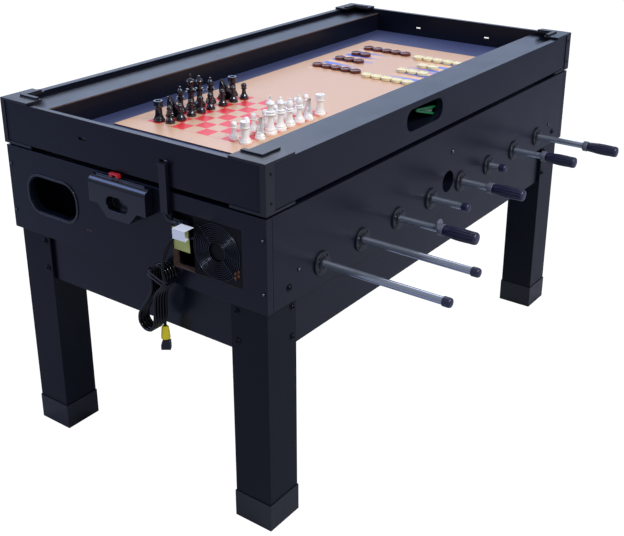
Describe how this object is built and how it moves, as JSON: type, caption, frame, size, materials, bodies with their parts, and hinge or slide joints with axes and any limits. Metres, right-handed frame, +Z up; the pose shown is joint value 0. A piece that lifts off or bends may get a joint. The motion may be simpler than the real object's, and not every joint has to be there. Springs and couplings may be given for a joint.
{
  "type": "multi game table",
  "caption": "Two-storey games table: football cabinet with sliding, turning rods on square legs, and a lift-off upper frame whose well holds a loose chess and backgammon board.",
  "frame": {"origin": "on the floor, under the middle of the table", "axes": "+X along the table, away from the end with the fan; +Y from the side with the serve hole to the back; +Z up"},
  "size_m": [1.4193, 1.3214, 0.8249],
  "materials": {
    "black_laminate": "black melamine laminate on board, satin",
    "black_plastic": "moulded black plastic, satin",
    "field_green": "green printed playfield board with white lines",
    "red_plastic": "moulded red plastic",
    "chrome_steel": "plated steel wire and screws, dark",
    "rod_steel": "chromed tube, polished",
    "stop_rubber": "black rubber",
    "cord_rubber": "black cord sheath",
    "printed_board": "printed wood grain with red and blue game fields",
    "raw_board": "raw brown fibreboard edge",
    "black_gloss": "glossy black plastic",
    "white_plastic": "glossy white plastic",
    "brown_plastic": "dark red-brown plastic",
    "cream_plastic": "cream plastic",
    "blue_plastic": "moulded blue plastic",
    "grey_plastic": "moulded grey plastic",
    "green_plastic": "moulded green plastic",
    "yellow_plastic": "yellow sleeve",
    "paper": "folded paper tag"
  },
  "bodies": {
    "cabinet": {"near_front_leg": "black_laminate", "far_front_leg": "black_laminate", "far_back_leg": "black_laminate", "near_back_leg": "black_laminate", "near_front_boot": "black_plastic", "far_front_boot": "black_plastic", "far_back_boot": "black_plastic", "near_back_boot": "black_plastic", "front_apron": "black_laminate", "back_apron": "black_laminate", "near_apron": "black_laminate", "far_apron": "black_laminate", "cabinet_front_panel": "black_laminate", "cabinet_back_panel": "black_laminate", "cabinet_near_panel": "black_laminate", "cabinet_far_panel": "black_laminate", "playfield": "field_green", "near_field_end_board": "black_laminate", "far_field_end_board": "black_laminate", "goal_box_near": "black_plastic", "goal_box_far": "black_plastic", "fan_frame": "black_plastic", "fan_guard": "chrome_steel", "power_box": "black_plastic", "cable_cover": "black_plastic", "link_cable": "cord_rubber", "power_cord_lead": "cord_rubber", "power_cord_hank": "cord_rubber", "plug": "black_plastic"},
    "rod_1_travel": {"rod_1_stop_ring": "stop_rubber"},
    "rod_2_travel": {"rod_2_stop_ring": "stop_rubber"},
    "rod_3_travel": {"rod_3_stop_ring": "stop_rubber"},
    "rod_4_travel": {"rod_4_stop_ring": "stop_rubber"},
    "rod_5_travel": {"rod_5_stop_ring": "stop_rubber"},
    "rod_6_travel": {"rod_6_stop_ring": "stop_rubber"},
    "rod_7_travel": {"rod_7_stop_ring": "stop_rubber"},
    "rod_8_travel": {"rod_8_stop_ring": "stop_rubber"},
    "rod_1_turn": {"rod_1": "rod_steel"},
    "rod_2_turn": {"rod_2": "rod_steel"},
    "rod_3_turn": {"rod_3": "rod_steel"},
    "rod_4_turn": {"rod_4": "rod_steel"},
    "rod_5_turn": {"rod_5": "rod_steel"},
    "rod_6_turn": {"rod_6": "rod_steel"},
    "rod_7_turn": {"rod_7": "rod_steel"},
    "rod_8_turn": {"rod_8": "rod_steel"},
    "slider_near": {"score_slider_near": "red_plastic"},
    "slider_far": {"score_slider_far": "red_plastic"},
    "rotor": {"fan_rotor": "black_plastic"},
    "upper_frame": {"upper_front_rail": "black_laminate", "upper_back_rail": "black_laminate", "upper_near_rail": "black_laminate", "upper_far_rail": "black_laminate", "upper_floor": "black_laminate", "front_ledge": "black_laminate", "back_ledge": "black_laminate", "near_front_corner_cap": "black_plastic", "far_front_corner_cap": "black_plastic", "far_back_corner_cap": "black_plastic", "near_back_corner_cap": "black_plastic"},
    "board": {"game_board": "printed_board"}
  },
  "joints": [
    {"name": "rod_1_slide", "type": "slide", "parent": "cabinet", "child": "rod_1_travel", "axis": [0, 1, 0], "range_m": [-0.00402, 0.26398]},
    {"name": "rod_2_slide", "type": "slide", "parent": "cabinet", "child": "rod_2_travel", "axis": [0, 1, 0], "range_m": [-0.02104, 0.24696]},
    {"name": "rod_3_slide", "type": "slide", "parent": "cabinet", "child": "rod_3_travel", "axis": [0, 1, 0], "range_m": [-0.11898, 0.08902]},
    {"name": "rod_4_slide", "type": "slide", "parent": "cabinet", "child": "rod_4_travel", "axis": [0, 1, 0], "range_m": [-0.071, 0.071]},
    {"name": "rod_5_slide", "type": "slide", "parent": "cabinet", "child": "rod_5_travel", "axis": [0, 1, 0], "range_m": [-0.08201, 0.05999]},
    {"name": "rod_6_slide", "type": "slide", "parent": "cabinet", "child": "rod_6_travel", "axis": [0, 1, 0], "range_m": [-0.18699, 0.02101]},
    {"name": "rod_7_slide", "type": "slide", "parent": "cabinet", "child": "rod_7_travel", "axis": [0, 1, 0], "range_m": [-0.20194, 0.06606]},
    {"name": "rod_8_slide", "type": "slide", "parent": "cabinet", "child": "rod_8_travel", "axis": [0, 1, 0], "range_m": [-0.1474, 0.1206]},
    {"name": "rod_1_spin", "type": "hinge", "parent": "rod_1_travel", "child": "rod_1_turn", "pos_m": [-0.5019, 0, 0.556], "axis": [0, 1, 0], "continuous": true},
    {"name": "rod_2_spin", "type": "hinge", "parent": "rod_2_travel", "child": "rod_2_turn", "pos_m": [-0.3585, 0, 0.556], "axis": [0, 1, 0], "continuous": true},
    {"name": "rod_3_spin", "type": "hinge", "parent": "rod_3_travel", "child": "rod_3_turn", "pos_m": [-0.2151, 0, 0.556], "axis": [0, 1, 0], "continuous": true},
    {"name": "rod_4_spin", "type": "hinge", "parent": "rod_4_travel", "child": "rod_4_turn", "pos_m": [-0.0717, 0, 0.556], "axis": [0, 1, 0], "continuous": true},
    {"name": "rod_5_spin", "type": "hinge", "parent": "rod_5_travel", "child": "rod_5_turn", "pos_m": [0.0717, 0, 0.556], "axis": [0, 1, 0], "continuous": true},
    {"name": "rod_6_spin", "type": "hinge", "parent": "rod_6_travel", "child": "rod_6_turn", "pos_m": [0.2151, 0, 0.556], "axis": [0, 1, 0], "continuous": true},
    {"name": "rod_7_spin", "type": "hinge", "parent": "rod_7_travel", "child": "rod_7_turn", "pos_m": [0.3585, 0, 0.556], "axis": [0, 1, 0], "continuous": true},
    {"name": "rod_8_spin", "type": "hinge", "parent": "rod_8_travel", "child": "rod_8_turn", "pos_m": [0.5019, 0, 0.556], "axis": [0, 1, 0], "continuous": true},
    {"name": "score_near_slide", "type": "slide", "parent": "cabinet", "child": "slider_near", "axis": [0, 1, 0], "range_m": [-0.0705, 0.0405]},
    {"name": "score_far_slide", "type": "slide", "parent": "cabinet", "child": "slider_far", "axis": [0, 1, 0], "range_m": [-0.0405, 0.0705]},
    {"name": "fan_spin", "type": "hinge", "parent": "cabinet", "child": "rotor", "pos_m": [-0.674, -0.2457, 0.6093], "axis": [1, 0, 0], "continuous": true},
    {"name": "upper_frame_lift", "type": "slide", "parent": "cabinet", "child": "upper_frame", "axis": [0, 0, 1], "range_m": [0, 0.3]},
    {"name": "game_board_lift", "type": "slide", "parent": "upper_frame", "child": "board", "axis": [0, 0, 1], "range_m": [0, 0.15]}
  ]
}
